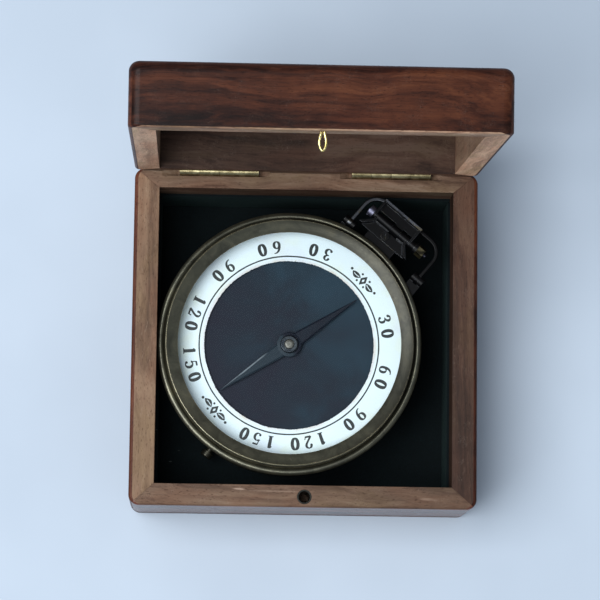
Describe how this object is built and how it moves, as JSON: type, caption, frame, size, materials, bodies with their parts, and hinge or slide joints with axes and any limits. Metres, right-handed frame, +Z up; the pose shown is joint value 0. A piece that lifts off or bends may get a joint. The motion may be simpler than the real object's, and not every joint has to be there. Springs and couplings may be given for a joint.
{
  "type": "boxed sighting compass",
  "caption": "Brass drum compass with a folding sight vane and thumb ring, lying in a felt-lined hardwood box with a hinged lid.",
  "frame": {"origin": "centre of the box underside", "axes": "+Z up, +X to the box right, +Y towards the lid hinges"},
  "size_m": [0.1, 0.1147, 0.1313],
  "materials": {
    "lid_wood": "polished, reddish brown hardwood",
    "base_wood": "satin, brown hardwood",
    "felt": "dark green felt",
    "hinge_brass": "polished",
    "aged_brass": "aged, olive brown",
    "bright_brass": "worn bright",
    "glass": "clear",
    "dial_white": "white printed card",
    "dial_black": "matt dark card",
    "black_metal": "blackened, worn at the edges",
    "steel": "bright",
    "needle_steel": "blued, with a bright pointing end"
  },
  "bodies": {
    "box_base": {"base_bottom_panel": "base_wood", "base_front_rail": "base_wood", "base_left_rail": "base_wood", "base_rear_rail": "base_wood", "base_right_rail": "base_wood", "floor_felt": "felt", "wall_felt_front": "felt", "wall_felt_rear": "felt", "wall_felt_left": "felt", "wall_felt_right": "felt", "latch_socket": "hinge_brass", "hinge_leaf_base_left": "hinge_brass", "hinge_leaf_base_right": "hinge_brass", "hinge_pin_left": "steel", "hinge_pin_right": "steel"},
    "lid": {"lid_top_panel": "lid_wood", "lid_front_rail": "lid_wood", "lid_left_rail": "lid_wood", "lid_rear_rail": "lid_wood", "lid_right_rail": "lid_wood", "lid_felt": "felt", "latch_loop": "hinge_brass", "hinge_leaf_lid_left": "hinge_brass", "hinge_leaf_lid_right": "hinge_brass"},
    "compass": {"compass_case": "aged_brass", "bezel": "aged_brass", "glass": "glass", "glass_ring": "aged_brass", "dial_plate": "aged_brass", "dial_disc": "dial_black", "dial_ring": "dial_white", "pivot_post": "bright_brass", "lever_bracket": "aged_brass", "lever_pin": "steel", "case_lug": "black_metal", "hinge_bracket": "black_metal", "bracket_screw": "black_metal", "vane_screw": "steel", "vane_collar": "steel", "vane_nut": "bright_brass", "ring_lugs": "black_metal", "ring_pins": "steel"},
    "arrest_button": {"arrest_plunger": "aged_brass"},
    "arrest_lever": {"lifter_lever": "aged_brass"},
    "arrest_sleeve": {"lift_sleeve": "bright_brass"},
    "needle_assembly": {"needle": "needle_steel", "needle_cap": "steel", "cap_bush": "bright_brass"},
    "vane": {"sight_vane": "black_metal"},
    "ring": {"thumb_ring": "black_metal"}
  },
  "joints": [
    {"name": "lid_hinge", "type": "hinge", "parent": "box_base", "child": "lid", "pos_m": [0, 0.0484, 0.033], "axis": [-1, 0, 0], "range_deg": [-85.6, 12.4]},
    {"name": "compass_lift", "type": "slide", "parent": "box_base", "child": "compass", "axis": [0, 0, 1], "range_m": [0, 0.06]},
    {"name": "arrest_push", "type": "slide", "parent": "compass", "child": "arrest_button", "axis": [0.6018, 0.7986, 0], "range_m": [0, 0.0008]},
    {"name": "lever_tilt", "type": "hinge", "parent": "compass", "child": "arrest_lever", "pos_m": [-0.01032, -0.00914, 0.019], "axis": [0.7986, -0.6018, 0], "range_deg": [0, 6.12]},
    {"name": "sleeve_lift", "type": "slide", "parent": "compass", "child": "arrest_sleeve", "axis": [0, 0, 1], "range_m": [0, 0.00106]},
    {"name": "needle_spin", "type": "hinge", "parent": "arrest_sleeve", "child": "needle_assembly", "pos_m": [-0.0043, -0.00115, 0.027], "axis": [0, 0, 1], "continuous": true},
    {"name": "vane_hinge", "type": "hinge", "parent": "compass", "child": "vane", "pos_m": [0.02475, 0.03348, 0.0299], "axis": [0.766, -0.6428, 0], "range_deg": [0, 100]},
    {"name": "ring_hinge", "type": "hinge", "parent": "compass", "child": "ring", "pos_m": [0.0207, 0.02865, 0.0276], "axis": [-0.766, 0.6428, 0], "range_deg": [0, 90]}
  ],
  "couplings": [
    {"joint": "lever_tilt", "follows": "arrest_push", "rad_per_m": 133.33},
    {"joint": "sleeve_lift", "follows": "arrest_push", "ratio": 1.3125}
  ]
}
